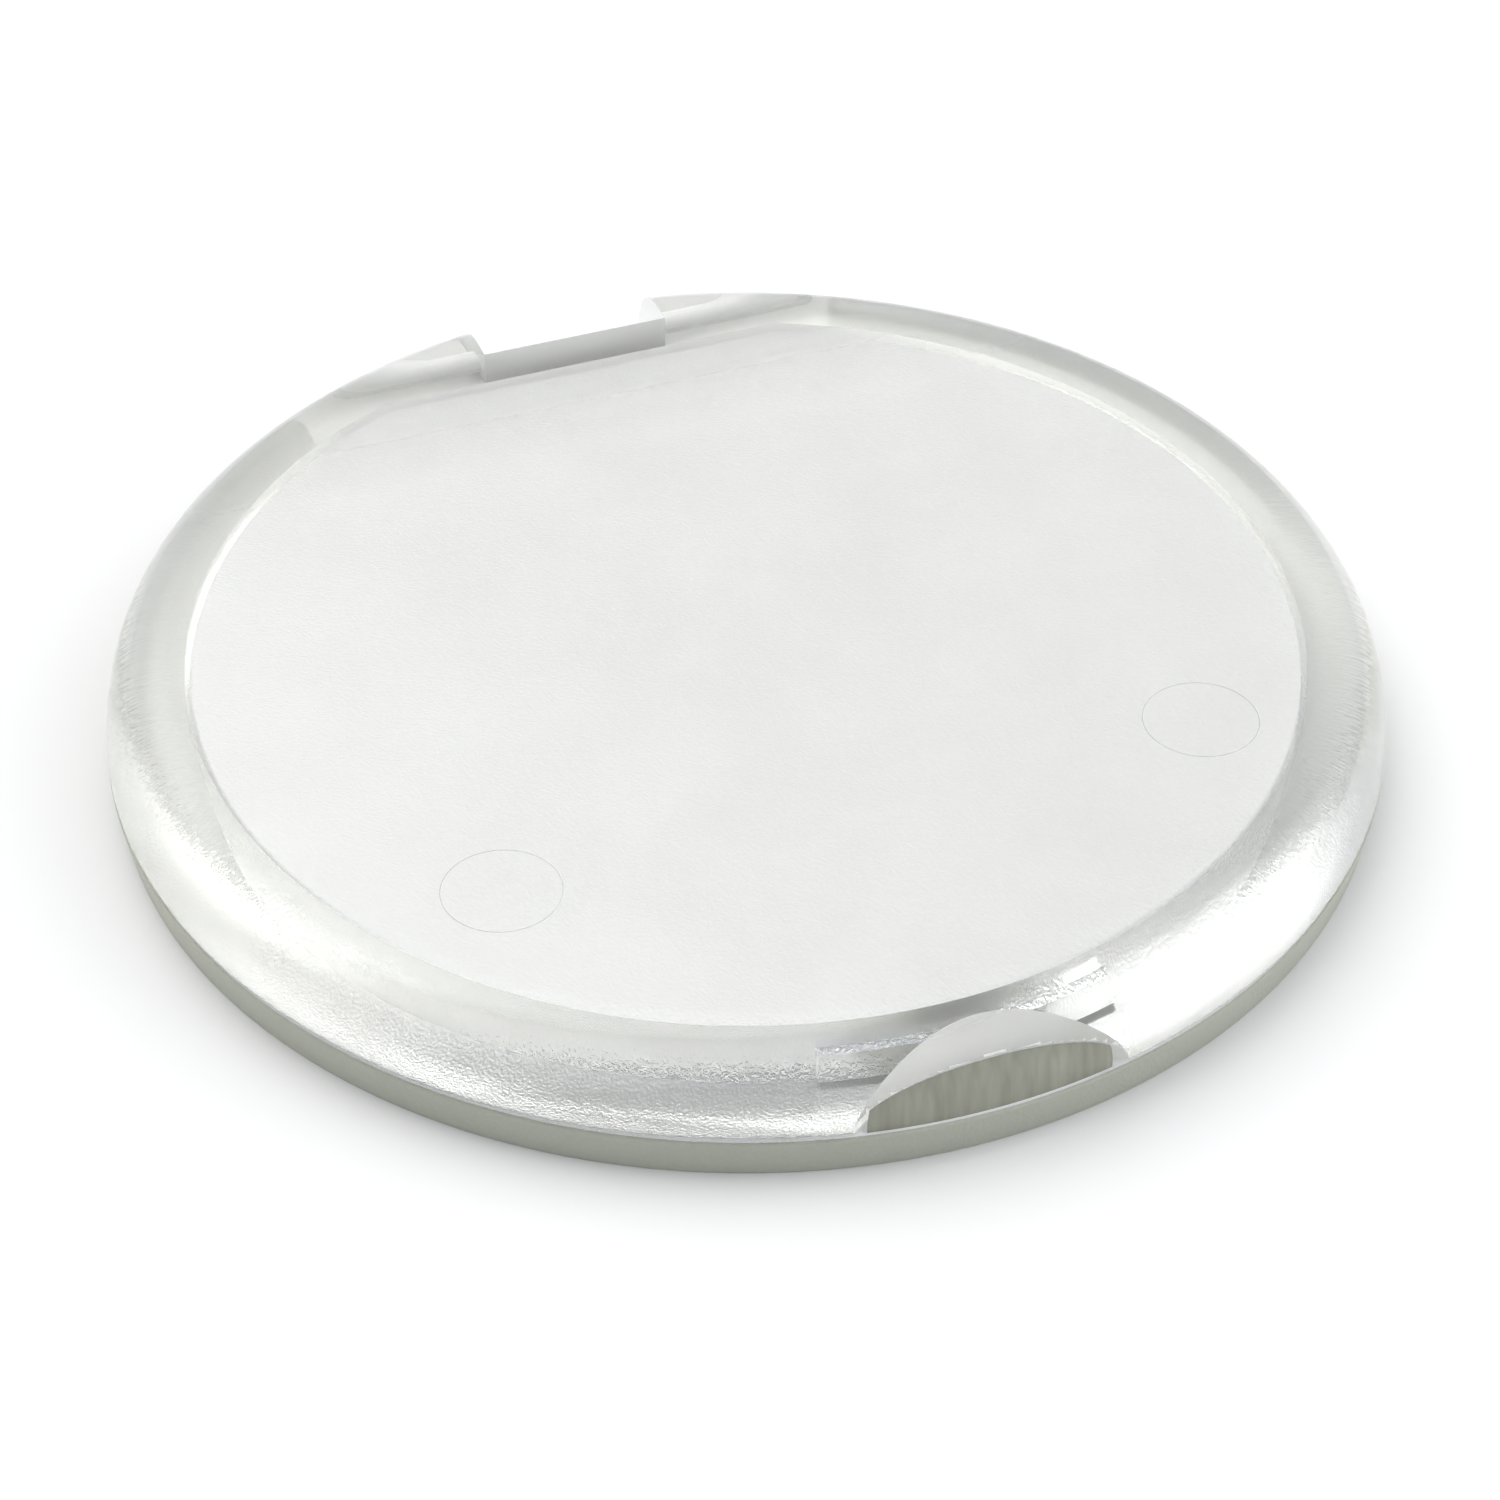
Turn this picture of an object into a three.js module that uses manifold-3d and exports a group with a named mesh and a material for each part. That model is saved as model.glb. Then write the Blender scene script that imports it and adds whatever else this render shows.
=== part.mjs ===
// Hinged round coin capsule: a thick clear lid with a bull-nosed rim over a thin clear base.
// Millimetres, +Z up. The origin is the centre of the underside. The hinge is at +Y, the thumb
// tab at -Y, and the lid is closed. Each mesh is one physical piece.
import * as THREE from "three";
import { mergeVertices } from "three/addons/utils/BufferGeometryUtils.js";
import Module from "manifold-3d";

const manifold = await Module();
manifold.setup();

// Case outline
const CASE_RADIUS = 32.5;
const CASE_HEIGHT = 7.0;
const FOOT_RADIUS = 32.17; // where the base's slightly drafted side meets its underside
const FLAT_RADIUS = 28.9; // the flat top inside the bull nose
const BASE_RIM_TOP = 2.2;
const CLEARANCE = 0.3; // between pieces that face each other
const LID_UNDERSIDE = BASE_RIM_TOP + CLEARANCE;
const EDGE_BREAK = 0.15; // small chamfer on the moulded edges
const TURN = 120; // segments round the case
const SMALL_TURN = 36; // segments round the hinge parts

// Bull nose: one cubic curve from the flat top to the rim's lower edge
const NOSE_TOP_PULL = 2.6;
const NOSE_RIM_PULL = 2.1;
const NOSE_LEAN = 0.15;
const NOSE_STEPS = 14;

// Cavity: the lid's is round with a flat towards the hinge, and the base's lip stands inside it
const LID_PLATE = 2.2;
const LID_CAVITY_RADIUS = 28.3;
const LID_CAVITY_FLAT_Y = 25.9;
const LID_CEILING = CASE_HEIGHT - LID_PLATE;
const LIP_OUTER_RADIUS = LID_CAVITY_RADIUS - CLEARANCE;
const LIP_FLAT_Y = LID_CAVITY_FLAT_Y - CLEARANCE;
const WELL_RADIUS = 24.6; // the round well in the base that the coin insert fills
const BASE_FLOOR = 0.9;
const COIN_RADIUS = 19.05; // a 38.1 mm crown-sized coin
const COIN_PLAY = 0.25;

// Pads and ring that hold the coin
const LID_PAD_THICKNESS = 0.5;
const LID_PAD_TOP = LID_CEILING - CLEARANCE;
const LID_PAD_UNDERSIDE = LID_PAD_TOP - LID_PAD_THICKNESS;
const BASE_PAD_THICKNESS = 0.4;
const BASE_PAD_UNDERSIDE = BASE_FLOOR + CLEARANCE;
const BASE_PAD_TOP = BASE_PAD_UNDERSIDE + BASE_PAD_THICKNESS;
const LIP_TOP = LID_PAD_UNDERSIDE - CLEARANCE;
const RING_UNDERSIDE = BASE_PAD_TOP + CLEARANCE;
const RING_TOP = LID_PAD_UNDERSIDE - CLEARANCE;
const INSERT_RADIUS = WELL_RADIUS - CLEARANCE;

// Snap catch at the front: a bead on the base's lip and a groove in the lid's wall
const CATCH_PROUD = 0.2;
const CATCH_CREST_HALF = 0.1; // half height of its crest
const CATCH_FOOT_HALF = 0.4; // half height where it leaves the lip
const CATCH_HALF_WIDTH = 6;
const CATCH_Z = 3.15;
const GROOVE_DEPTH = 0.3;
const GROOVE_HALF_HEIGHT = 0.5;
const GROOVE_HALF_WIDTH = 7;

// Hinge: a lug on the base stands in a notch in the lid's rim, on one axis parallel to X
const HINGE_Y = 28.8;
const HINGE_Z = 3.7;
const KNUCKLE_RADIUS = 1.3;
const LUG_HALF_WIDTH = 5.0;
const NOTCH_HALF_WIDTH = LUG_HALF_WIDTH + CLEARANCE;
const NOTCH_WALL_Y = 27.19;
const PIN_RADIUS = 0.6;
const PIN_INNER_X = 1.3;
const PIN_LENGTH = 11.0;
const PIN_CHAMFER = 0.15;
const BORE_RADIUS = PIN_RADIUS + CLEARANCE;
const LUG_BORE_INNER_X = PIN_INNER_X - CLEARANCE;

// Room in the base for the heel of the lid's rim, which swings down behind the axis
const HEEL_SWING_RADIUS = 3.8;
const HEEL_ROOM_OUTER_X = 15.6;
const HEEL_ROOM_INNER_X = LUG_HALF_WIDTH;

// Thumb recess in the lid's rim: an elliptical arch over a round-backed pocket. A tab on the base
// stands in it, one clearance smaller all round, with its face just behind the bull nose.
const THUMB_BACK_RADIUS = 10.7;
const THUMB_BACK_Y = -29.4;
const THUMB_HALF_WIDTH = 6.76;
const THUMB_HEIGHT = 2.75;

const BEYOND = 5; // how far a cutter runs past what it cuts
const MERGE_DISTANCE = 1e-4; // vertices closer than this are one

// A closed three.js geometry as a manifold solid
function solid(geometry) {
  const bare = geometry.index ? geometry.toNonIndexed() : geometry.clone();
  bare.deleteAttribute("normal");
  bare.deleteAttribute("uv");
  const merged = mergeVertices(bare, MERGE_DISTANCE);
  const mesh = new manifold.Mesh({
    numProp: 3,
    vertProperties: new Float32Array(merged.attributes.position.array),
    triVerts: new Uint32Array(merged.index.array),
  });
  return new manifold.Manifold(mesh);
}

// A manifold solid as a three.js geometry
function geometryOf(shape) {
  const mesh = shape.getMesh();
  const geometry = new THREE.BufferGeometry();
  geometry.setAttribute("position", new THREE.BufferAttribute(mesh.vertProperties, 3));
  geometry.setIndex(new THREE.BufferAttribute(mesh.triVerts, 1));
  geometry.computeVertexNormals();
  return geometry;
}

// A closed [radius, z] outline, listed anticlockwise, turned about the Z axis
function turned(outline) {
  const points = [...outline, outline[0]].map(([r, z]) => new THREE.Vector2(r, z));
  const geometry = new THREE.LatheGeometry(points, TURN);
  return solid(geometry.rotateX(Math.PI / 2));
}

function block(x0, x1, y0, y1, z0, z1) {
  const geometry = new THREE.BoxGeometry(x1 - x0, y1 - y0, z1 - z0);
  return solid(geometry.translate((x0 + x1) / 2, (y0 + y1) / 2, (z0 + z1) / 2));
}

// A cylinder on the hinge axis between two X positions
function hingeRod(radius, x0, x1) {
  const geometry = new THREE.CylinderGeometry(radius, radius, x1 - x0, SMALL_TURN);
  return solid(geometry.rotateZ(Math.PI / 2).translate((x0 + x1) / 2, HINGE_Y, HINGE_Z));
}

// The outside of the rim from the lower edge up to the flat top, as [radius, z] points
function bullNose() {
  const curve = new THREE.CubicBezierCurve(
    new THREE.Vector2(CASE_RADIUS, LID_UNDERSIDE + EDGE_BREAK),
    new THREE.Vector2(CASE_RADIUS - NOSE_LEAN, LID_UNDERSIDE + EDGE_BREAK + NOSE_RIM_PULL),
    new THREE.Vector2(FLAT_RADIUS + NOSE_TOP_PULL, CASE_HEIGHT),
    new THREE.Vector2(FLAT_RADIUS, CASE_HEIGHT),
  );
  return curve.getPoints(NOSE_STEPS).map((point) => [point.x, point.y]);
}

// Two mirror-image copies, at +X and -X
function onBothSides(shape) {
  return shape.add(shape.mirror([1, 0, 0]));
}

// The part of a solid in front of a plane across the hinge side
function flatAt(shape, y) {
  return shape.intersect(block(-CASE_RADIUS, CASE_RADIUS, -CASE_RADIUS, y, 0, CASE_HEIGHT));
}

// The part of a turned ring that lies at the front, within a half width of the middle
function atFront(shape, halfWidth) {
  return shape.intersect(block(-halfWidth, halfWidth, -CASE_RADIUS, 0, 0, CASE_HEIGHT));
}

// The recess's shape, drawn in all round by an inset
function thumbRecess(inset) {
  const radius = THUMB_BACK_RADIUS - inset;
  const back = new THREE.CylinderGeometry(radius, radius, CASE_HEIGHT, TURN);
  back.rotateX(Math.PI / 2).translate(0, THUMB_BACK_Y - THUMB_BACK_RADIUS, CASE_HEIGHT / 2);
  const arch = new THREE.CylinderGeometry(1, 1, THUMB_BACK_RADIUS * 2, TURN);
  arch.scale(THUMB_HALF_WIDTH - inset, 1, THUMB_HEIGHT - inset).translate(0, THUMB_BACK_Y, LID_UNDERSIDE);
  return solid(back).intersect(solid(arch));
}

function thumbTab() {
  const face = bullNose().map(([r, z]) => [r - CLEARANCE, z]);
  const limit = turned([[0, BASE_FLOOR], [CASE_RADIUS - CLEARANCE, BASE_FLOOR], ...face,
    [0, CASE_HEIGHT]]);
  return thumbRecess(CLEARANCE).intersect(limit);
}

function hingeNotch() {
  const far = CASE_RADIUS + BEYOND;
  return block(-NOTCH_HALF_WIDTH, NOTCH_HALF_WIDTH, NOTCH_WALL_Y, far, 0, CASE_HEIGHT + BEYOND);
}

function lidShell() {
  const body = turned([[0, LID_UNDERSIDE], [CASE_RADIUS - EDGE_BREAK, LID_UNDERSIDE],
    ...bullNose(), [0, CASE_HEIGHT]]);
  const cavity = turned([[0, 0], [LID_CAVITY_RADIUS, 0], [LID_CAVITY_RADIUS, LID_CEILING],
    [0, LID_CEILING]]);
  const grooveRadius = LID_CAVITY_RADIUS + GROOVE_DEPTH;
  const groove = turned([[WELL_RADIUS, CATCH_Z - GROOVE_HALF_HEIGHT],
    [grooveRadius, CATCH_Z - GROOVE_HALF_HEIGHT], [grooveRadius, CATCH_Z + GROOVE_HALF_HEIGHT],
    [WELL_RADIUS, CATCH_Z + GROOVE_HALF_HEIGHT]]);
  const bores = onBothSides(hingeRod(BORE_RADIUS, LUG_HALF_WIDTH, CASE_RADIUS));
  return body.subtract(flatAt(cavity, LID_CAVITY_FLAT_Y)).subtract(atFront(groove, GROOVE_HALF_WIDTH))
    .subtract(hingeNotch()).subtract(bores).subtract(thumbRecess(0));
}

function hingeLug() {
  const knuckle = hingeRod(KNUCKLE_RADIUS, -LUG_HALF_WIDTH, LUG_HALF_WIDTH);
  const web = block(-LUG_HALF_WIDTH, LUG_HALF_WIDTH, HINGE_Y - KNUCKLE_RADIUS,
    HINGE_Y + KNUCKLE_RADIUS, BASE_FLOOR, HINGE_Z);
  return knuckle.add(web);
}

function catchBead() {
  const crest = LIP_OUTER_RADIUS + CATCH_PROUD;
  const bead = turned([[WELL_RADIUS, CATCH_Z - CATCH_FOOT_HALF],
    [LIP_OUTER_RADIUS, CATCH_Z - CATCH_FOOT_HALF], [crest, CATCH_Z - CATCH_CREST_HALF],
    [crest, CATCH_Z + CATCH_CREST_HALF], [LIP_OUTER_RADIUS, CATCH_Z + CATCH_FOOT_HALF],
    [WELL_RADIUS, CATCH_Z + CATCH_FOOT_HALF]]);
  return atFront(bead, CATCH_HALF_WIDTH);
}

// Everything from the heel's sweep backwards, on both sides of the lug
function heelRoom() {
  const sweep = hingeRod(HEEL_SWING_RADIUS, HEEL_ROOM_INNER_X, HEEL_ROOM_OUTER_X);
  const behind = block(HEEL_ROOM_INNER_X, HEEL_ROOM_OUTER_X, HINGE_Y, CASE_RADIUS + BEYOND,
    -BEYOND, CASE_HEIGHT);
  return onBothSides(sweep.add(behind));
}

function baseShell() {
  const plate = turned([[0, 0], [FOOT_RADIUS - EDGE_BREAK, 0], [FOOT_RADIUS, EDGE_BREAK],
    [CASE_RADIUS, BASE_RIM_TOP - EDGE_BREAK], [CASE_RADIUS - EDGE_BREAK, BASE_RIM_TOP],
    [0, BASE_RIM_TOP]]);
  const lip = flatAt(flatDisc(LIP_OUTER_RADIUS, BASE_FLOOR, LIP_TOP), LIP_FLAT_Y);
  const well = turned([[0, BASE_FLOOR], [WELL_RADIUS, BASE_FLOOR], [WELL_RADIUS, CASE_HEIGHT],
    [0, CASE_HEIGHT]]);
  const bores = onBothSides(hingeRod(BORE_RADIUS, LUG_BORE_INNER_X, LUG_HALF_WIDTH + BEYOND));
  return plate.add(lip).add(catchBead()).subtract(well).subtract(heelRoom()).add(hingeLug())
    .add(thumbTab()).subtract(bores);
}

// A disc, or with an inner radius a ring, with softly broken outer edges
function flatDisc(radius, z0, z1, innerRadius = 0) {
  return turned([[innerRadius, z0], [radius - EDGE_BREAK, z0], [radius, z0 + EDGE_BREAK],
    [radius, z1 - EDGE_BREAK], [radius - EDGE_BREAK, z1], [innerRadius, z1]]);
}

// Fills the lid's cavity across, so it is round with the same flat
function lidPad() {
  return flatAt(flatDisc(LIP_OUTER_RADIUS, LID_PAD_UNDERSIDE, LID_PAD_TOP), LIP_FLAT_Y);
}

// A headless pin, chamfered at both ends, from the lug outwards to the given side
function hingePin(side) {
  const outline = [[0, 0], [PIN_RADIUS - PIN_CHAMFER, 0], [PIN_RADIUS, PIN_CHAMFER],
    [PIN_RADIUS, PIN_LENGTH - PIN_CHAMFER], [PIN_RADIUS - PIN_CHAMFER, PIN_LENGTH], [0, PIN_LENGTH]];
  const points = outline.map(([r, along]) => new THREE.Vector2(r, along));
  const geometry = new THREE.LatheGeometry(points, SMALL_TURN);
  geometry.rotateZ(-side * Math.PI / 2).translate(side * PIN_INNER_X, 0, 0);
  return solid(geometry);
}

const clearPlastic = { color: 0xe6e8e0, roughness: 0.12, metalness: 0, transparent: true, opacity: 0.45 };
const satinPlastic = { color: 0xd3d6c8, roughness: 0.35, metalness: 0, transparent: true, opacity: 0.6 };
const whiteFoam = { color: 0xefefed, roughness: 0.85, metalness: 0 };

const capsule = new THREE.Group();

function addPiece(name, shape, finish, position = [0, 0, 0]) {
  const mesh = new THREE.Mesh(geometryOf(shape), new THREE.MeshStandardMaterial(finish));
  mesh.name = name;
  mesh.position.set(...position);
  capsule.add(mesh);
}

addPiece("base_shell", baseShell(), satinPlastic);
addPiece("lid_shell", lidShell(), clearPlastic);
addPiece("hinge_pin_left", hingePin(-1), clearPlastic, [0, HINGE_Y, HINGE_Z]);
addPiece("hinge_pin_right", hingePin(1), clearPlastic, [0, HINGE_Y, HINGE_Z]);
addPiece("lid_pad", lidPad(), whiteFoam);
addPiece("base_pad", flatDisc(INSERT_RADIUS, BASE_PAD_UNDERSIDE, BASE_PAD_TOP), whiteFoam);
addPiece("coin_ring", flatDisc(INSERT_RADIUS, RING_UNDERSIDE, RING_TOP, COIN_RADIUS + COIN_PLAY),
  whiteFoam);

export default capsule;
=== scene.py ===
"""The looks of a hinged coin capsule: a clear bull-nosed lid over a satin base, with foam pads inside."""

import math

import bpy
from mathutils import Matrix, Vector

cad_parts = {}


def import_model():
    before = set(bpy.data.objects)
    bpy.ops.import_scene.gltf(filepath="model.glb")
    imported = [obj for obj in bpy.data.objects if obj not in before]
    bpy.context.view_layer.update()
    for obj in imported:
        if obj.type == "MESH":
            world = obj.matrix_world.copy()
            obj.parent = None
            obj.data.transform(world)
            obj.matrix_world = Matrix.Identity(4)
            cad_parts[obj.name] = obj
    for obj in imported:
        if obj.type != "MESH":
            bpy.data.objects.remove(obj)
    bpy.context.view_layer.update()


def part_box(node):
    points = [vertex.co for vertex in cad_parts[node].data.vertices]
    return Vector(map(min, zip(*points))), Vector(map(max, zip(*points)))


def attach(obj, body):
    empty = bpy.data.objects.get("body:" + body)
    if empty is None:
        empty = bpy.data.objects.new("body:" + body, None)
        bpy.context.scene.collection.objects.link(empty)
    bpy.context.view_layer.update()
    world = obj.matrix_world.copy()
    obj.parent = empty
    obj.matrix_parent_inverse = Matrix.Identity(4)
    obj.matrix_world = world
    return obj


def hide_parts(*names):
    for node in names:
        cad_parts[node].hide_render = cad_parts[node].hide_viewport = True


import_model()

# Shapes are made in millimetres and brought to metres at the end. What the frame gives:
MM = 1000


def box_mm(node):
    low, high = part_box(node)
    return low * MM, high * MM


LID_LOW, LID_HIGH = box_mm("lid_shell")
LID_PAD_LOW, LID_PAD_HIGH = box_mm("lid_pad")
BASE_PAD_LOW, BASE_PAD_HIGH = box_mm("base_pad")
RING_LOW, RING_HIGH = box_mm("coin_ring")
PIN_LOW, PIN_HIGH = box_mm("hinge_pin_right")
CASE_RADIUS = LID_HIGH.x
CASE_HEIGHT = LID_HIGH.z
LID_UNDERSIDE = LID_LOW.z
HINGE_Y = (PIN_LOW.y + PIN_HIGH.y) / 2
HINGE_Z = (PIN_LOW.z + PIN_HIGH.z) / 2
PIN_RADIUS = (PIN_HIGH.y - PIN_LOW.y) / 2

# The case's other sizes, as in the CAD model
CLEARANCE = 0.3
FLAT_RADIUS = 28.9
FOOT_RADIUS = 32.17
BASE_RIM_TOP = LID_UNDERSIDE - CLEARANCE
LID_CEILING = LID_PAD_HIGH.z + CLEARANCE
LIP_RADIUS = LID_PAD_HIGH.x
LIP_FLAT_Y = LID_PAD_HIGH.y
LIP_TOP = RING_HIGH.z
CAVITY_RADIUS = LIP_RADIUS + CLEARANCE
CAVITY_FLAT_Y = LIP_FLAT_Y + CLEARANCE
WELL_RADIUS = BASE_PAD_HIGH.x + CLEARANCE
BASE_FLOOR = BASE_PAD_LOW.z - CLEARANCE
COIN_ROOM_RADIUS = 19.3
NOSE_TOP_PULL = 2.6
NOSE_RIM_PULL = 2.1
NOSE_LEAN = 0.15
NOSE_STEPS = 40
ROUND = 0.15
KNUCKLE_RADIUS = 1.3
LUG_HALF_WIDTH = 5.0
NOTCH_HALF_WIDTH = LUG_HALF_WIDTH + CLEARANCE
NOTCH_WALL_Y = 27.19
BORE_RADIUS = PIN_RADIUS + CLEARANCE
HEEL_SWING_RADIUS = 3.8
HEEL_ROOM_OUTER_X = 15.6
THUMB_BACK_RADIUS = 10.7
THUMB_BACK_Y = -29.4
THUMB_HALF_WIDTH = 6.76
THUMB_HEIGHT = 2.75
CATCH_Z = 3.15
CATCH_PROUD = 0.2
CATCH_FOOT_HALF = 0.4
CATCH_CREST_HALF = 0.1
CATCH_HALF_WIDTH = 6
GROOVE_DEPTH = 0.3
GROOVE_HALF_HEIGHT = 0.5
GROOVE_HALF_WIDTH = 7
EJECTOR_RADIUS = 2.85
EJECTOR_PITCH_RADIUS = 23.7
EJECTOR_ANGLE = math.radians(49)
EJECTOR_GROOVE = 0.025  # twice its depth
BEYOND = 5  # how far a cutter runs past what it cuts

# Fineness: segments round each kind of shape, and the angle in degrees from which an edge stays sharp
TURN = 360
FLAT_STEPS = 12
EDGE_STEPS = 6
LUG_SIDES = 64
SWEEP_SIDES = 128
PIN_SIDES = 48
MARK_SIDES = 96
SHARP_EDGE = 32

# Where a face is: within this distance of a surface, upright, or turned to the front
NEAR = 0.02
UPRIGHT = 0.5
FRONTWARD = -0.3

# Clear plastic: cloud is the share of light that a face scatters instead of letting it through
PLASTIC_IOR = 1.5
LID_COLOR = (1, 1, 1, 1)
LID_DEPTH = ((0.88, 0.89, 0.82), 70)  # the colour that its depth gives, and how strongly per metre
LID_GRAIN = 6500
LID_WAVE = 90
LID_WAVE_HEIGHT = 0.04
LID_RELIEF = 0.000015
NOTCH_CLOUD = 0.2
UNDERSIDE_CLOUD = 0.15
WALL_CLOUD = 0.12
CEILING_CLOUD = 0.03
RECESS_CLOUD = 0.4
BORE_CLOUD = 0.3
HINGE_HAZE = 0.55
NOTCH_ROUGHNESS = 0.9
RECESS_ROUGHNESS = 0.4
INNER_ROUGHNESS = 0.1
POLISHED_ROUGHNESS = 0.02

# Satin plastic
# painted shade: the base's outer band is painted this darker olive, partly the plastic's own tint. The
# inside and the area round the hinge get the paler colour below as painted light
BASE_EDGE_TINT_AND_SHADE = (0.75, 0.77, 0.61, 1)
BASE_INNER_COLOR = (0.94, 0.945, 0.955, 1)
BASE_DEPTH = ((0.84, 0.86, 0.68), 60)
BASE_GRAIN = 5000
BASE_GRAIN_DETAIL = 3.0
BASE_GRAIN_TONE = 0.4
BASE_GRAIN_ROUGHNESS = 0.2
BASE_ROUGHNESS = 0.28
BASE_RELIEF = 0.00005
# painted shade: the thumb tab's top is painted halfway between the shaded edge colour and the pale inner
# one
TAB_TOP_HALF_SHADE = 0.5
# painted shade: the thumb tab's face is painted in these two dark colours, streaked along its draw marks
DRAWN_SHADE_DARK = (0.24, 0.24, 0.18, 1)
DRAWN_SHADE_LIGHT = (0.46, 0.46, 0.38, 1)
DRAWN_POLISH = 0.25
DRAWN_SCALE = 1800
UP_AND_DOWN = (1, 1, 0.05)  # stretches a pattern along Z
HINGE_CLOUD = 0.3
LUG_CLOUD = 0.7
INSIDE_CLOUD = 0.85
EDGE_CLOUD = 0.48
TAB_CLOUD = 0.75

# Pins
PIN_COLOR = (0.95, 0.96, 0.93, 1)
PIN_CLEARNESS = 0.7
PIN_ROUGHNESS = 0.1
PIN_SCALE = 1500
ALONG_PIN = (0.1, 1, 1)  # stretches a pattern along X
PIN_RELIEF = 0.00001

# Foam
LID_FOAM_COLOR = (0.94, 0.94, 0.95)
BASE_FOAM_COLOR = (0.78, 0.78, 0.77)
RING_FOAM_COLOR = (0.74, 0.74, 0.73)
FOAM_CELLS = 4200
FOAM_PATCHES = 160
PATCH_DETAIL = 4.0
PATCH_TONE = 0.965
PATCH_EDGES = (0.35, 0.65)
FOAM_ROUGHNESS = 0.85
FOAM_RELIEF = 0.00004

# Camera: where it stands round the case, how far off in case radii, and its framing
CAMERA_AZIMUTH = -20.5
CAMERA_ELEVATION = 39.28
CAMERA_DISTANCE = 6.0
FOCAL_LENGTH = 90.54
SENSOR = 36.0
SHIFT = (0.0026667, -0.0182667)
CLIP = (0.01, 10)

# Surroundings: a pale sky by nearness to its brightest place, and a soft patch of light beside it
KEY_AZIMUTH = 204.5
KEY_ELEVATION = 58.0
SKY = ((0.0, (0.49, 0.52, 0.575, 1)), (0.8, (0.95, 0.95, 0.95, 1)), (0.97, (3.2, 3.2, 3.15, 1)))
SKY_STRENGTH = 1.04
FILL_AZIMUTH = 69.5
FILL_ELEVATION = 30.0
FILL_NEARNESS = (0.8, 0.96)
FILL_GLOW = 1.8
FLOOR_HALF = 2
FLOOR_COLOR = (0.73, 0.73, 0.73, 1)
FLOOR_ROUGHNESS = 0.9
FLOOR_SPECULAR = 0.1
BOUNCES = (24, 20, 16)  # of light in all, through faces and off faces: the closed case has many


def direction(azimuth, elevation):
    """The unit vector towards a place round the case, with azimuth 0 in front and elevation upwards."""
    a, e = math.radians(azimuth), math.radians(elevation)
    return Vector((math.sin(a) * math.cos(e), -math.cos(a) * math.cos(e), math.sin(e)))


# ---------------------------------------------------------------- mesh tools

def new_object(name, vertices, faces):
    mesh = bpy.data.meshes.new(name)
    mesh.from_pydata([tuple(v) for v in vertices], [], faces)
    mesh.update()
    made = bpy.data.objects.new(name, mesh)
    bpy.context.scene.collection.objects.link(made)
    return made


def stacked(name, rings):
    """A closed body through rings of points, each with the same number of points, capped at both ends."""
    count = len(rings[0])
    vertices = [point for ring in rings for point in ring]
    faces = []
    for level in range(len(rings) - 1):
        low, high = level * count, (level + 1) * count
        for i in range(count):
            j = (i + 1) % count
            faces.append((low + i, low + j, high + j, high + i))
    faces.append(tuple(range(count))[::-1])
    top = (len(rings) - 1) * count
    faces.append(tuple(range(top, top + count)))
    return new_object(name, vertices, faces)


def turned(name, profile, turn=TURN):
    """A body of revolution about Z whose [radius, z] profile runs up its outside."""
    angles = [2 * math.pi * i / turn for i in range(turn)]
    return stacked(name, [[(r * math.cos(a), r * math.sin(a), z) for a in angles] for r, z in profile])


def turned_ring(name, outline, turn=TURN):
    """A ring about Z with a closed anticlockwise [radius, z] outline."""
    count = len(outline)
    vertices, faces = [], []
    for i in range(turn):
        a = 2 * math.pi * i / turn
        vertices += [(r * math.cos(a), r * math.sin(a), z) for r, z in outline]
        near, far = i * count, (i + 1) % turn * count
        faces += [(near + k, far + k, far + (k + 1) % count, near + (k + 1) % count)
                  for k in range(count)]
    return new_object(name, vertices, faces)


def flat_sided(name, radius, flat_y, levels):
    """A round body with a flat at +Y. Each level is (how far its outline is drawn in, z)."""
    rings = []
    for inset, z in levels:
        r, y = radius - inset, flat_y - inset
        corner = math.asin(y / r)
        sweep = math.pi + 2 * corner
        arc = [math.pi - corner + sweep * i / TURN for i in range(TURN + 1)]
        ring = [(r * math.cos(a), r * math.sin(a), z) for a in arc]
        half = r * math.cos(corner)
        ring += [(half - 2 * half * i / FLAT_STEPS, y, z) for i in range(1, FLAT_STEPS)]
        rings.append(ring)
    return stacked(name, rings)


def block(name, x0, x1, y0, y1, z0, z1):
    low = [(x0, y0, z0), (x1, y0, z0), (x1, y1, z0), (x0, y1, z0)]
    return stacked(name, [low, [(x, y, z1) for x, y, _ in low]])


def rod(name, profile, sides=LUG_SIDES):
    """A body of revolution about the hinge axis, from a [radius, x] profile."""
    rings = []
    for radius, x in profile:
        angles = [2 * math.pi * i / sides for i in range(sides)]
        rings.append([(x, HINGE_Y + radius * math.cos(a), HINGE_Z + radius * math.sin(a))
                      for a in angles])
    return stacked(name, rings)


def combine(piece, tool, operation):
    """Cuts, joins or trims a piece with a tool, which is used up."""
    change = piece.modifiers.new("combine", "BOOLEAN")
    change.operation = operation
    change.solver = "MANIFOLD"
    change.object = tool
    graph = bpy.context.evaluated_depsgraph_get()
    mesh = bpy.data.meshes.new_from_object(piece.evaluated_get(graph))
    piece.modifiers.clear()
    piece.data = mesh
    bpy.data.objects.remove(tool)


def cut(piece, *tools):
    for tool in tools:
        combine(piece, tool, "DIFFERENCE")


def join(piece, *tools):
    for tool in tools:
        combine(piece, tool, "UNION")


def quarter(radius, steps=EDGE_STEPS):
    """Points of a rounded edge as (drawn in, up), from the side to the face."""
    turns = [math.pi / 2 * i / steps for i in range(steps + 1)]
    return [(radius * (1 - math.cos(a)), radius * math.sin(a)) for a in turns]


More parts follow.
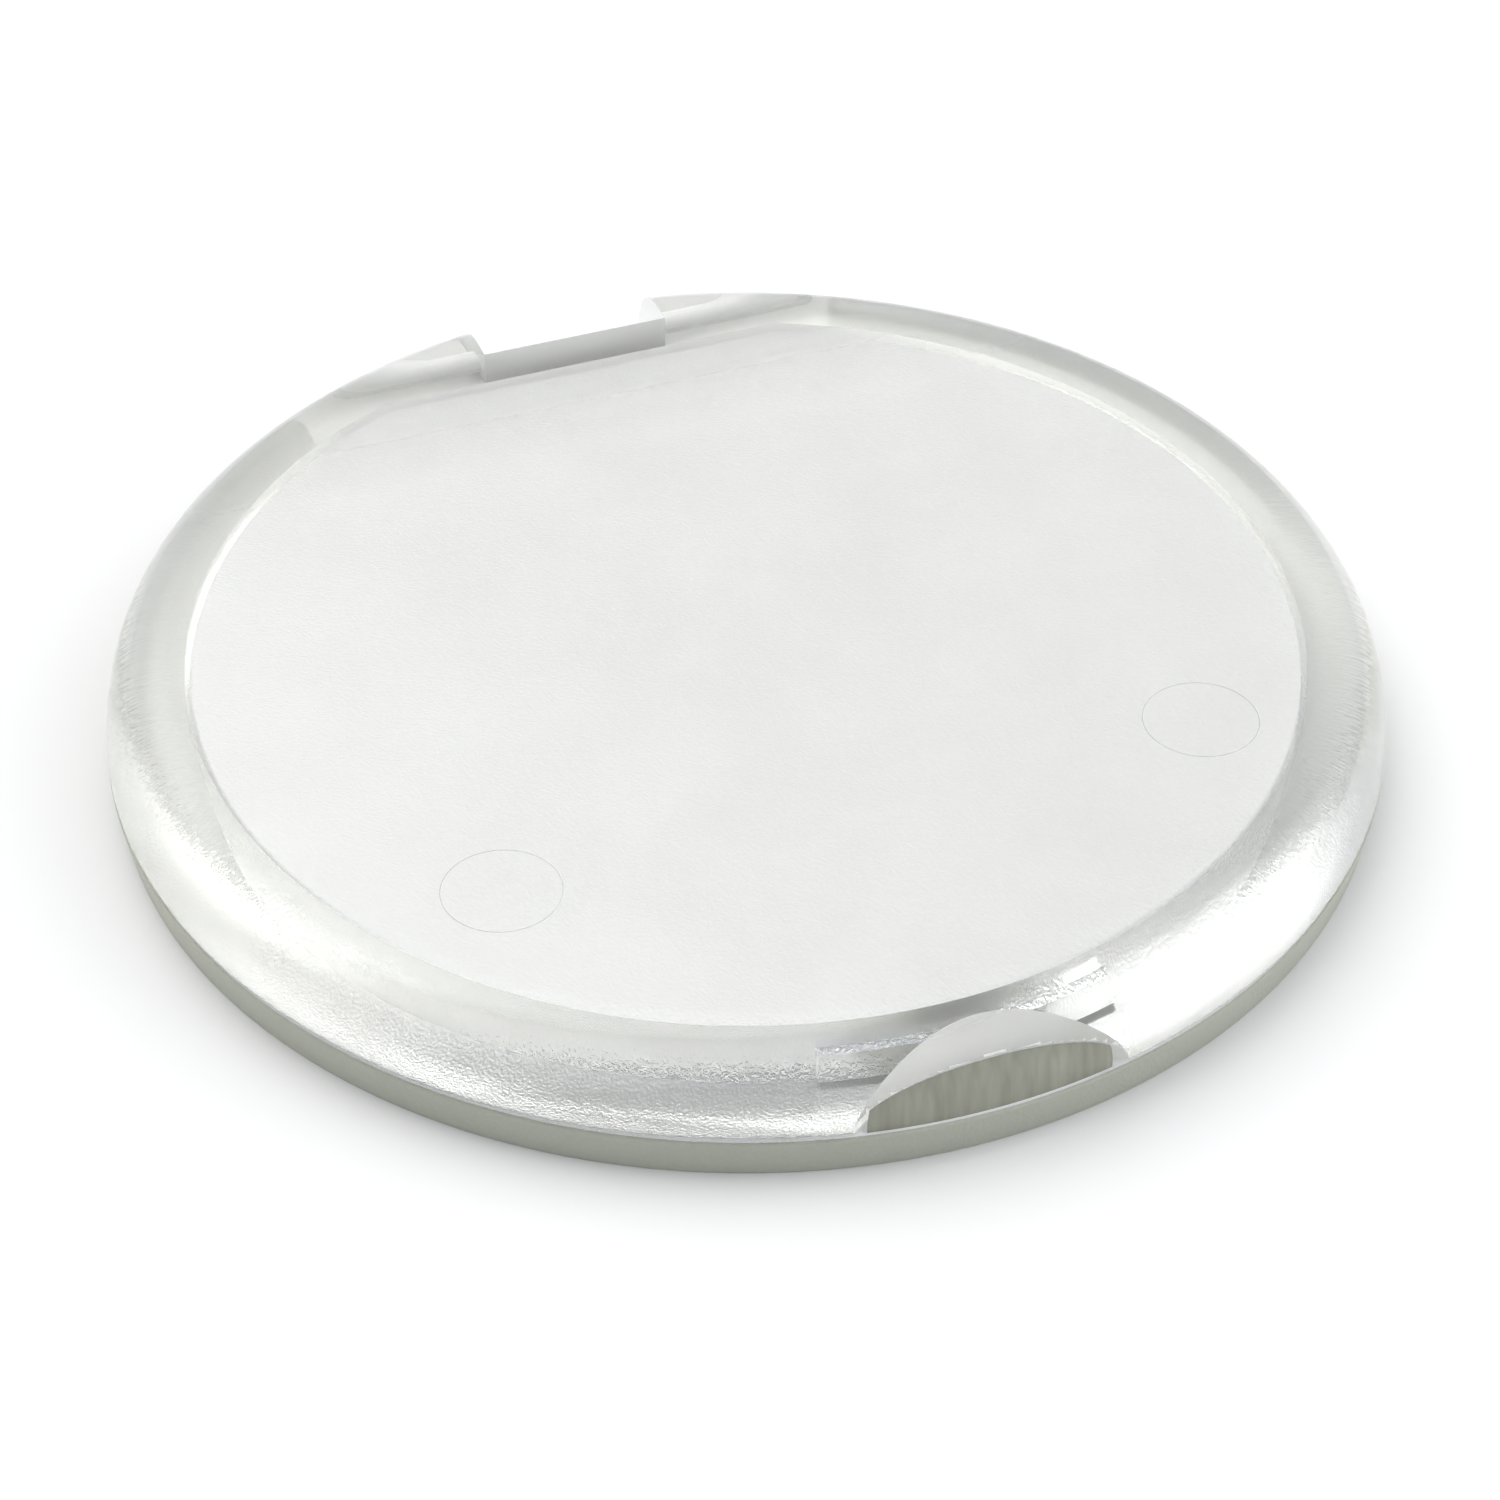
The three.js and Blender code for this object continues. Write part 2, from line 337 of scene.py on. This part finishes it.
def round_levels(z0, z1, radius):
    """Levels of a slab with rounded lower and upper edges."""
    lower = [(inset, z0 + radius - up) for inset, up in reversed(quarter(radius))]
    upper = [(inset, z1 - radius + up) for inset, up in quarter(radius)]
    return lower + upper


def finish_piece(piece, name, body, material, slot, *nodes):
    """Brings a piece to metres, smooths its curved faces, and puts it in place of its nodes."""
    piece.name = piece.data.name = name
    piece.data.transform(Matrix.Scale(1 / MM, 4))
    piece.data.materials.clear()
    piece.data.materials.append(material)
    piece.data.polygons.foreach_set("use_smooth", [True] * len(piece.data.polygons))
    piece.data.set_sharp_from_angle(angle=math.radians(SHARP_EDGE))
    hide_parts(*nodes)
    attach(piece, body)
    return piece


def shade_where(piece, name, weigh):
    """Stores a number for each corner of a piece, from its face's centre and normal in millimetres."""
    mesh = piece.data
    layer = mesh.attributes.new(name, "FLOAT", "CORNER")
    for face in mesh.polygons:
        value = weigh(face.center, face.normal)
        for corner in face.loop_indices:
            layer.data[corner].value = value


# ---------------------------------------------------------------- the pieces

def bull_nose():
    """The rim's outside from its lower edge up to the flat top: [radius, z] points of a cubic curve."""
    foot = LID_UNDERSIDE + ROUND
    ends = [(CASE_RADIUS, foot), (CASE_RADIUS - NOSE_LEAN, foot + NOSE_RIM_PULL),
            (FLAT_RADIUS + NOSE_TOP_PULL, CASE_HEIGHT), (FLAT_RADIUS, CASE_HEIGHT)]
    points = []
    for i in range(NOSE_STEPS + 1):
        t = i / NOSE_STEPS
        weights = ((1 - t) ** 3, 3 * t * (1 - t) ** 2, 3 * t ** 2 * (1 - t), t ** 3)
        points.append(tuple(sum(w * end[k] for w, end in zip(weights, ends)) for k in (0, 1)))
    return points


def thumb_recess(inset):
    """A round-backed pocket under an elliptical arch, drawn in all round by an inset."""
    radius = THUMB_BACK_RADIUS - inset
    back = turned("back", [(radius, 0), (radius, CASE_HEIGHT)])
    back.data.transform(Matrix.Translation((0, THUMB_BACK_Y - THUMB_BACK_RADIUS, 0)))
    half_width, height = THUMB_HALF_WIDTH - inset, THUMB_HEIGHT - inset
    angles = [2 * math.pi * i / TURN for i in range(TURN)]
    arch = [[(half_width * math.cos(a), y, LID_UNDERSIDE + height * math.sin(a)) for a in angles]
            for y in (THUMB_BACK_Y + BEYOND, THUMB_BACK_Y - 2 * THUMB_BACK_RADIUS)]
    combine(back, stacked("arch", arch), "INTERSECT")
    return back


def thumb_tab():
    """The base's tab in the lid's recess: one clearance smaller, its face just behind the bull nose."""
    tab = thumb_recess(CLEARANCE)
    face = [(CASE_RADIUS - CLEARANCE, BASE_FLOOR)] + [(r - CLEARANCE, z) for r, z in bull_nose()]
    combine(tab, turned("face", face), "INTERSECT")
    return tab


def hinge_notch():
    return block("notch", -NOTCH_HALF_WIDTH, NOTCH_HALF_WIDTH, NOTCH_WALL_Y, CASE_RADIUS + BEYOND,
                 0, CASE_HEIGHT + BEYOND)


def at_front(name, outline, half_width):
    """The part of a turned ring that lies at the front, within a half width of the middle."""
    ring = turned_ring(name, outline)
    front = block("front", -half_width, half_width, -CASE_RADIUS, -WELL_RADIUS / 2, 0, CASE_HEIGHT)
    combine(ring, front, "INTERSECT")
    return ring


def catch_groove():
    low, high = CATCH_Z - GROOVE_HALF_HEIGHT, CATCH_Z + GROOVE_HALF_HEIGHT
    far = CAVITY_RADIUS + GROOVE_DEPTH
    outline = [(WELL_RADIUS, low), (far, low), (far, high), (WELL_RADIUS, high)]
    return at_front("groove", outline, GROOVE_HALF_WIDTH)


def catch_bead():
    """The bead on the base's lip that snaps into the lid's groove. Its root is inside the lip."""
    root, crest = LIP_RADIUS - ROUND, LIP_RADIUS + CATCH_PROUD
    foot, top = CATCH_FOOT_HALF, CATCH_CREST_HALF
    outline = [(root, CATCH_Z - foot), (LIP_RADIUS, CATCH_Z - foot), (crest, CATCH_Z - top),
               (crest, CATCH_Z + top), (LIP_RADIUS, CATCH_Z + foot), (root, CATCH_Z + foot)]
    return at_front("bead", outline, CATCH_HALF_WIDTH)


def ejector_marks():
    """Two shallow ring grooves in the flat top, one on each side of the thumb recess."""
    for side in (-1, 1):
        half, depth = EJECTOR_GROOVE, EJECTOR_GROOVE / 2
        outline = [(EJECTOR_RADIUS, CASE_HEIGHT - depth), (EJECTOR_RADIUS + half, CASE_HEIGHT + half),
                   (EJECTOR_RADIUS - half, CASE_HEIGHT + half)]
        ring = turned_ring("mark", outline, MARK_SIDES)
        angle = side * EJECTOR_ANGLE
        place = EJECTOR_PITCH_RADIUS * Vector((math.sin(angle), -math.cos(angle), 0))
        ring.data.transform(Matrix.Translation(place))
        yield ring


def lid():
    edge = [(CASE_RADIUS - inset, LID_UNDERSIDE + ROUND - up) for inset, up in reversed(quarter(ROUND))]
    piece = turned("lid", edge + bull_nose()[1:])
    cut(piece, flat_sided("cavity", CAVITY_RADIUS, CAVITY_FLAT_Y, [(0, -BEYOND), (0, LID_CEILING)]))
    cut(piece, catch_groove(), hinge_notch(), thumb_recess(0), *ejector_marks())
    for side in (-1, 1):
        reach = [(BORE_RADIUS, side * LUG_HALF_WIDTH), (BORE_RADIUS, side * CASE_RADIUS)]
        cut(piece, rod("bore", reach[::side]))
    return piece


def lug():
    """The hinge lug: a block with a round back and top on the hinge axis."""
    rounded, inner = quarter(ROUND), LUG_HALF_WIDTH - ROUND
    left = [(KNUCKLE_RADIUS - inset, -inner - up) for inset, up in reversed(rounded)]
    right = [(KNUCKLE_RADIUS - inset, inner + up) for inset, up in rounded]
    knuckle = rod("lug", left + right)
    join(knuckle, block("web", -LUG_HALF_WIDTH, LUG_HALF_WIDTH, HINGE_Y - KNUCKLE_RADIUS,
                        HINGE_Y + KNUCKLE_RADIUS, BASE_FLOOR, HINGE_Z))
    return knuckle


def base():
    foot = [(FOOT_RADIUS - inset, ROUND - up) for inset, up in reversed(quarter(ROUND))]
    rim = [(CASE_RADIUS - inset, BASE_RIM_TOP - ROUND + up) for inset, up in quarter(ROUND)]
    piece = turned("base", foot + rim)
    join(piece, flat_sided("lip", LIP_RADIUS, LIP_FLAT_Y, round_levels(BASE_FLOOR, LIP_TOP, ROUND)))
    join(piece, catch_bead())
    cut(piece, turned("well", [(WELL_RADIUS, BASE_FLOOR), (WELL_RADIUS, CASE_HEIGHT)]))
    for side in (-1, 1):
        inner, outer = sorted((side * LUG_HALF_WIDTH, side * HEEL_ROOM_OUTER_X))
        cut(piece, rod("sweep", [(HEEL_SWING_RADIUS, inner), (HEEL_SWING_RADIUS, outer)], SWEEP_SIDES),
            block("behind", inner, outer, HINGE_Y, CASE_RADIUS + BEYOND, -BEYOND, CASE_HEIGHT))
    join(piece, lug(), thumb_tab())
    for side in (-1, 1):
        reach = [(BORE_RADIUS, side * (PIN_LOW.x - CLEARANCE)), (BORE_RADIUS, side * 2 * LUG_HALF_WIDTH)]
        cut(piece, rod("bore", reach[::side]))
    return piece


def pin(side):
    tip = 2 * ROUND
    ends = sorted((side * PIN_LOW.x, side * PIN_HIGH.x))
    near = [(PIN_RADIUS - inset, ends[0] + tip - up) for inset, up in reversed(quarter(tip))]
    far = [(PIN_RADIUS - inset, ends[1] - tip + up) for inset, up in quarter(tip)]
    return rod("pin", near + far, PIN_SIDES)


def coin_ring():
    outside = [(RING_HIGH.x - inset, z) for inset, z in round_levels(RING_LOW.z, RING_HIGH.z, ROUND)]
    inside = [(COIN_ROOM_RADIUS + inset, z) for inset, z in round_levels(RING_LOW.z, RING_HIGH.z, ROUND)]
    return turned_ring("ring", outside + inside[::-1])


# ---------------------------------------------------------------- materials

def new_material(name):
    material = bpy.data.materials.new(name)
    material.use_nodes = True
    nodes, links = material.node_tree.nodes, material.node_tree.links
    return material, nodes, links, nodes["Principled BSDF"]


def noise(nodes, links, scale, detail=2.0, stretch=(1, 1, 1)):
    """A noise pattern fixed to the piece. Its scale is in repeats per metre."""
    coordinates = nodes.new("ShaderNodeTexCoord")
    mapping = nodes.new("ShaderNodeMapping")
    mapping.inputs["Scale"].default_value = stretch
    texture = nodes.new("ShaderNodeTexNoise")
    texture.inputs["Scale"].default_value = scale
    texture.inputs["Detail"].default_value = detail
    links.new(coordinates.outputs["Object"], mapping.inputs["Vector"])
    links.new(mapping.outputs["Vector"], texture.inputs["Vector"])
    return texture.outputs["Fac"]


def math_node(nodes, links, operation, first, second):
    node = nodes.new("ShaderNodeMath")
    node.operation = operation
    for socket, value in zip(node.inputs, (first, second)):
        if isinstance(value, (int, float)):
            socket.default_value = value
        else:
            links.new(value, socket)
    return node.outputs["Value"]


def painted(nodes, name):
    attribute = nodes.new("ShaderNodeAttribute")
    attribute.attribute_name = name
    return attribute.outputs["Fac"]


def bump(nodes, links, shader, heights, distance):
    """Adds up (pattern, strength socket or number) pairs into one bump."""
    total = 0.0
    for pattern, strength in heights:
        weighed = math_node(nodes, links, "MULTIPLY", pattern, strength)
        total = math_node(nodes, links, "ADD", total, weighed)
    node = nodes.new("ShaderNodeBump")
    node.inputs["Distance"].default_value = distance
    links.new(total, node.inputs["Height"])
    links.new(node.outputs["Normal"], shader.inputs["Normal"])


def absorb(nodes, links, color, density):
    absorption = nodes.new("ShaderNodeVolumeAbsorption")
    absorption.inputs["Color"].default_value = (*color, 1)
    absorption.inputs["Density"].default_value = density
    links.new(absorption.outputs["Volume"], nodes["Material Output"].inputs["Volume"])


def hinge_side(nodes, links):
    """0 over most of the case, rising towards the hinge."""
    coordinates = nodes.new("ShaderNodeTexCoord")
    parts = nodes.new("ShaderNodeSeparateXYZ")
    links.new(coordinates.outputs["Object"], parts.inputs["Vector"])
    rise = nodes.new("ShaderNodeMapRange")
    rise.interpolation_type = "SMOOTHSTEP"
    rise.inputs["From Min"].default_value = (HINGE_Y - 3 * HEEL_SWING_RADIUS) / MM
    rise.inputs["From Max"].default_value = HINGE_Y / MM
    rise.inputs["To Max"].default_value = HINGE_HAZE
    links.new(parts.outputs["Y"], rise.inputs["Value"])
    return rise.outputs["Result"]


def lid_plastic():
    """Polished outside, and finely grained and faintly cloudy inside."""
    material, nodes, links, shader = new_material("lid_plastic")
    shader.inputs["Base Color"].default_value = LID_COLOR
    shader.inputs["IOR"].default_value = PLASTIC_IOR
    grain = painted(nodes, "grain")
    links.new(painted(nodes, "rough"), shader.inputs["Roughness"])
    haze = math_node(nodes, links, "MULTIPLY", hinge_side(nodes, links), grain)
    cloud = math_node(nodes, links, "ADD", painted(nodes, "cloud"), haze)
    links.new(math_node(nodes, links, "SUBTRACT", 1.0, cloud), shader.inputs["Transmission Weight"])
    bump(nodes, links, shader, (
        (noise(nodes, links, LID_GRAIN), grain),
        (noise(nodes, links, LID_WAVE), LID_WAVE_HEIGHT),
    ), LID_RELIEF)
    absorb(nodes, links, *LID_DEPTH)
    return material


def base_plastic():
    """Satin, cloudy plastic with a fine grain all over but the thumb tab's face, which has draw marks.
    Its outer band is painted a darker olive as painted shade and its inside paler as painted light, and
    the tab's face is painted dark as painted shade.
    """
    material, nodes, links, shader = new_material("base_plastic")
    lit_not_shaded = painted(nodes, "lit_not_shaded")
    # painted light and shade: the pale inner colour and the darker painted shade of the outer band are
    # mixed by the painted light mask, with random grain tone on top
    tone = nodes.new("ShaderNodeMix")
    tone.data_type = "RGBA"
    tone.inputs["A"].default_value = BASE_EDGE_TINT_AND_SHADE
    tone.inputs["B"].default_value = BASE_INNER_COLOR
    grains = noise(nodes, links, BASE_GRAIN, BASE_GRAIN_DETAIL)
    pale = math_node(nodes, links, "MULTIPLY", grains, BASE_GRAIN_TONE)
    links.new(math_node(nodes, links, "ADD", lit_not_shaded, pale), tone.inputs["Factor"])
    # the drawn mask covers the tab's face: its draw marks, and its dark painted shade
    drawn = painted(nodes, "drawn")
    face = nodes.new("ShaderNodeMix")
    face.data_type = "RGBA"
    links.new(drawn, face.inputs["Factor"])
    links.new(tone.outputs["Result"], face.inputs["A"])
    streaks = noise(nodes, links, DRAWN_SCALE, stretch=UP_AND_DOWN)
    # painted shade: the tab's face is painted dark, lighter and darker along its draw marks
    marks = nodes.new("ShaderNodeMix")
    marks.data_type = "RGBA"
    marks.inputs["A"].default_value = DRAWN_SHADE_DARK
    marks.inputs["B"].default_value = DRAWN_SHADE_LIGHT
    links.new(streaks, marks.inputs["Factor"])
    links.new(marks.outputs["Result"], face.inputs["B"])
    links.new(face.outputs["Result"], shader.inputs["Base Color"])
    shader.inputs["IOR"].default_value = PLASTIC_IOR
    links.new(math_node(nodes, links, "SUBTRACT", 1.0, painted(nodes, "cloud")),
              shader.inputs["Transmission Weight"])
    speckle = math_node(nodes, links, "MULTIPLY", grains, BASE_GRAIN_ROUGHNESS)
    satin = math_node(nodes, links, "ADD", speckle, BASE_ROUGHNESS)
    polish = math_node(nodes, links, "MULTIPLY", drawn, DRAWN_POLISH)
    links.new(math_node(nodes, links, "SUBTRACT", satin, polish), shader.inputs["Roughness"])
    grained_part = math_node(nodes, links, "SUBTRACT", 1.0, drawn)
    bump(nodes, links, shader, ((grains, grained_part), (streaks, drawn)), BASE_RELIEF)
    absorb(nodes, links, *BASE_DEPTH)
    return material


def pin_plastic():
    material, nodes, links, shader = new_material("pin_plastic")
    shader.inputs["Base Color"].default_value = PIN_COLOR
    shader.inputs["IOR"].default_value = PLASTIC_IOR
    shader.inputs["Transmission Weight"].default_value = PIN_CLEARNESS
    shader.inputs["Roughness"].default_value = PIN_ROUGHNESS
    bump(nodes, links, shader, ((noise(nodes, links, PIN_SCALE, stretch=ALONG_PIN), 1.0),), PIN_RELIEF)
    return material


def foam(name, color):
    """Closed-cell foam: a bed of fine cells, faintly cloudy in tone."""
    material, nodes, links, shader = new_material(name)
    cells = nodes.new("ShaderNodeTexVoronoi")
    cells.inputs["Scale"].default_value = FOAM_CELLS
    coordinates = nodes.new("ShaderNodeTexCoord")
    links.new(coordinates.outputs["Object"], cells.inputs["Vector"])
    tone = nodes.new("ShaderNodeValToRGB")
    tone.color_ramp.elements[0].color = (*(PATCH_TONE * c for c in color), 1)
    tone.color_ramp.elements[1].color = (*color, 1)
    tone.color_ramp.elements[0].position, tone.color_ramp.elements[1].position = PATCH_EDGES
    links.new(noise(nodes, links, FOAM_PATCHES, PATCH_DETAIL), tone.inputs["Fac"])
    links.new(tone.outputs["Color"], shader.inputs["Base Color"])
    shader.inputs["Roughness"].default_value = FOAM_ROUGHNESS
    bump(nodes, links, shader, ((cells.outputs["Distance"], 1.0),), FOAM_RELIEF)
    return material


# ---------------------------------------------------------------- where each finish and the painted light and shade lie

def grained(centre, normal):
    """1 on the lid's inner faces: the cavity, the rim's underside, the hinge notch and the bores."""
    radius = math.hypot(centre.x, centre.y)
    inside = radius < CAVITY_RADIUS + GROOVE_DEPTH + NEAR and centre.z < LID_CEILING + NEAR
    hinge = in_notch(centre) or in_bore(centre)
    return 1.0 if inside or hinge or centre.z < LID_UNDERSIDE + NEAR else 0.0


def in_notch(centre):
    beyond = centre.y > NOTCH_WALL_Y - NEAR and centre.z > LID_UNDERSIDE + NEAR
    return beyond and abs(centre.x) < NOTCH_HALF_WIDTH + NEAR


def in_bore(centre):
    """Whether a place is on the wall of one of the lid's pin bores."""
    away = math.hypot(centre.y - HINGE_Y, centre.z - HINGE_Z)
    return abs(centre.x) > NOTCH_HALF_WIDTH and away < BORE_RADIUS + NEAR


def in_recess(centre):
    """Whether a place is on the wall or the ceiling of the lid's thumb recess."""
    across, up = centre.x / THUMB_HALF_WIDTH, (centre.z - LID_UNDERSIDE) / THUMB_HEIGHT
    outside_wall = math.hypot(centre.x, centre.y) > -THUMB_BACK_Y - NEAR
    above_rim = centre.z > LID_UNDERSIDE + NEAR
    return across ** 2 + up ** 2 < 1 + NEAR and outside_wall and above_rim and centre.y < 0


def lid_roughness(centre, normal):
    """Frosted in the notch, the recess and the bores, smoother on the other inner faces."""
    if in_notch(centre):
        return NOTCH_ROUGHNESS
    if in_recess(centre) or in_bore(centre):
        return RECESS_ROUGHNESS
    return INNER_ROUGHNESS if grained(centre, normal) else POLISHED_ROUGHNESS


def clouded(centre, normal):
    """How cloudy the lid is: the recess and the bores most, its ceiling little, the outside not."""
    if in_recess(centre):
        return RECESS_CLOUD
    if in_bore(centre):
        return BORE_CLOUD
    if not grained(centre, normal):
        return 0.0
    if in_notch(centre):
        return NOTCH_CLOUD
    if centre.z < LID_UNDERSIDE + NEAR:
        return UNDERSIDE_CLOUD
    return WALL_CLOUD if abs(normal.z) < UPRIGHT else CEILING_CLOUD


def within(centre, normal):
    """How pale the base is painted, as painted light and shade: fully inside the case and round the
    hinge, half on the tab's top; the outer band keeps the darker painted shade.
    """
    radius = math.hypot(centre.x, centre.y)
    inside = radius < CASE_RADIUS - 3 * ROUND and centre.z > BASE_FLOOR - NEAR
    hinge = centre.y > HINGE_Y - HEEL_SWING_RADIUS and abs(centre.x) < HEEL_ROOM_OUTER_X
    if not (inside or hinge) or drawn_and_shaded_face(centre, normal):
        return 0.0
    return TAB_TOP_HALF_SHADE if radius > CAVITY_RADIUS and centre.y < 0 else 1.0


def base_cloud(centre, normal):
    """How cloudy the base is: most inside, on the tab's face and on the lug, least beside the lug."""
    if centre.y > LIP_FLAT_Y - NEAR:
        return LUG_CLOUD if abs(centre.x) < LUG_HALF_WIDTH + NEAR else HINGE_CLOUD
    if within(centre, normal):
        return INSIDE_CLOUD
    return TAB_CLOUD if drawn_and_shaded_face(centre, normal) else EDGE_CLOUD


def drawn_and_shaded_face(centre, normal):
    """1 on the upright face of the thumb tab, which has draw marks and is painted dark as painted shade.
    """
    radius = math.hypot(centre.x, centre.y)
    proud = radius > -THUMB_BACK_Y + CLEARANCE and centre.z > BASE_RIM_TOP + NEAR
    return 1.0 if proud and centre.y < 0 and normal.y < FRONTWARD else 0.0


# ---------------------------------------------------------------- stage

def camera():
    """The camera looks straight at the origin, and its shift frames the case."""
    data = bpy.data.cameras.new("camera")
    eye = bpy.data.objects.new("camera", data)
    bpy.context.scene.collection.objects.link(eye)
    back = direction(CAMERA_AZIMUTH, CAMERA_ELEVATION)
    eye.location = back * CAMERA_DISTANCE * CASE_RADIUS / MM
    eye.rotation_euler = (-back).to_track_quat("-Z", "Y").to_euler()
    data.sensor_width = SENSOR
    data.lens = FOCAL_LENGTH
    data.shift_x, data.shift_y = SHIFT
    data.clip_start, data.clip_end = CLIP
    bpy.context.scene.camera = eye


def floor():
    corners = [(x * FLOOR_HALF, y * FLOOR_HALF, 0) for x, y in ((-1, -1), (1, -1), (1, 1), (-1, 1))]
    plane = new_object("floor", corners, [(0, 1, 2, 3)])
    material, _, _, shader = new_material("paper")
    shader.inputs["Base Color"].default_value = FLOOR_COLOR
    shader.inputs["Roughness"].default_value = FLOOR_ROUGHNESS
    shader.inputs["Specular IOR Level"].default_value = FLOOR_SPECULAR
    plane.data.materials.append(material)


def nearness(nodes, links, azimuth, elevation):
    """How near a place in the surroundings is to a given one: 1 there, 0 a quarter turn away."""
    coordinates = nodes.new("ShaderNodeTexCoord")
    product = nodes.new("ShaderNodeVectorMath")
    product.operation = "DOT_PRODUCT"
    product.inputs[1].default_value = direction(azimuth, elevation)
    links.new(coordinates.outputs["Generated"], product.inputs[0])
    return product.outputs["Value"]


def fill(nodes, links):
    """A round patch of extra light in the surroundings, fading out from its middle."""
    fade = nodes.new("ShaderNodeMapRange")
    fade.interpolation_type = "SMOOTHSTEP"
    fade.inputs["From Min"].default_value, fade.inputs["From Max"].default_value = FILL_NEARNESS
    fade.inputs["To Max"].default_value = FILL_GLOW
    links.new(nearness(nodes, links, FILL_AZIMUTH, FILL_ELEVATION), fade.inputs["Value"])
    return fade.outputs["Result"]


def world():
    """Pale surroundings, brightest towards the back left, with more light from the right."""
    scene = bpy.context.scene
    scene.world = bpy.data.worlds.new("world")
    scene.world.use_nodes = True
    nodes, links = scene.world.node_tree.nodes, scene.world.node_tree.links
    ramp = nodes.new("ShaderNodeValToRGB")
    ramp.color_ramp.interpolation = "EASE"
    stops = ramp.color_ramp.elements
    stops.new(1.0)
    for stop, (position, color) in zip(stops, SKY):
        stop.position, stop.color = position, color
    links.new(nearness(nodes, links, KEY_AZIMUTH, KEY_ELEVATION), ramp.inputs["Fac"])
    total = nodes.new("ShaderNodeVectorMath")
    total.operation = "ADD"
    links.new(ramp.outputs["Color"], total.inputs[0])
    links.new(fill(nodes, links), total.inputs[1])
    links.new(total.outputs["Vector"], nodes["Background"].inputs["Color"])
    nodes["Background"].inputs["Strength"].default_value = SKY_STRENGTH
    scene.view_settings.view_transform = "Standard"


camera()
floor()
world()
cycles = bpy.context.scene.cycles
cycles.max_bounces, cycles.transmission_bounces, cycles.glossy_bounces = BOUNCES

lid_piece = lid()
shade_where(lid_piece, "grain", grained)
shade_where(lid_piece, "cloud", clouded)
shade_where(lid_piece, "rough", lid_roughness)
finish_piece(lid_piece, "lid", "lid", lid_plastic(), "lid_plastic", "lid_shell")
base_piece = base()
# the tab's face: draw marks, and dark painted shade
shade_where(base_piece, "drawn", drawn_and_shaded_face)
# painted light and shade: pale inside the case and round the hinge, darker on the outer band
shade_where(base_piece, "lit_not_shaded", within)
shade_where(base_piece, "cloud", base_cloud)
finish_piece(base_piece, "base", "base", base_plastic(), "base_plastic", "base_shell")
pin_finish = pin_plastic()
for side, name in ((-1, "left"), (1, "right")):
    finish_piece(pin(side), f"pin_{name}", "base", pin_finish, "pin_plastic", f"hinge_pin_{name}")

lid_pad = flat_sided("pad", LIP_RADIUS, LIP_FLAT_Y, round_levels(LID_PAD_LOW.z, LID_PAD_HIGH.z, ROUND))
finish_piece(lid_pad, "lid_foam", "lid", foam("lid_foam", LID_FOAM_COLOR), "pad_foam",
                       "lid_pad")
base_pad = turned("pad", [(BASE_PAD_HIGH.x - inset, z)
                          for inset, z in round_levels(BASE_PAD_LOW.z, BASE_PAD_HIGH.z, ROUND)])
finish_piece(base_pad, "base_foam", "base", foam("base_foam", BASE_FOAM_COLOR), "pad_foam",
                       "base_pad")
finish_piece(coin_ring(), "foam_ring", "base", foam("foam_ring", RING_FOAM_COLOR), "ring_foam",
                       "coin_ring")
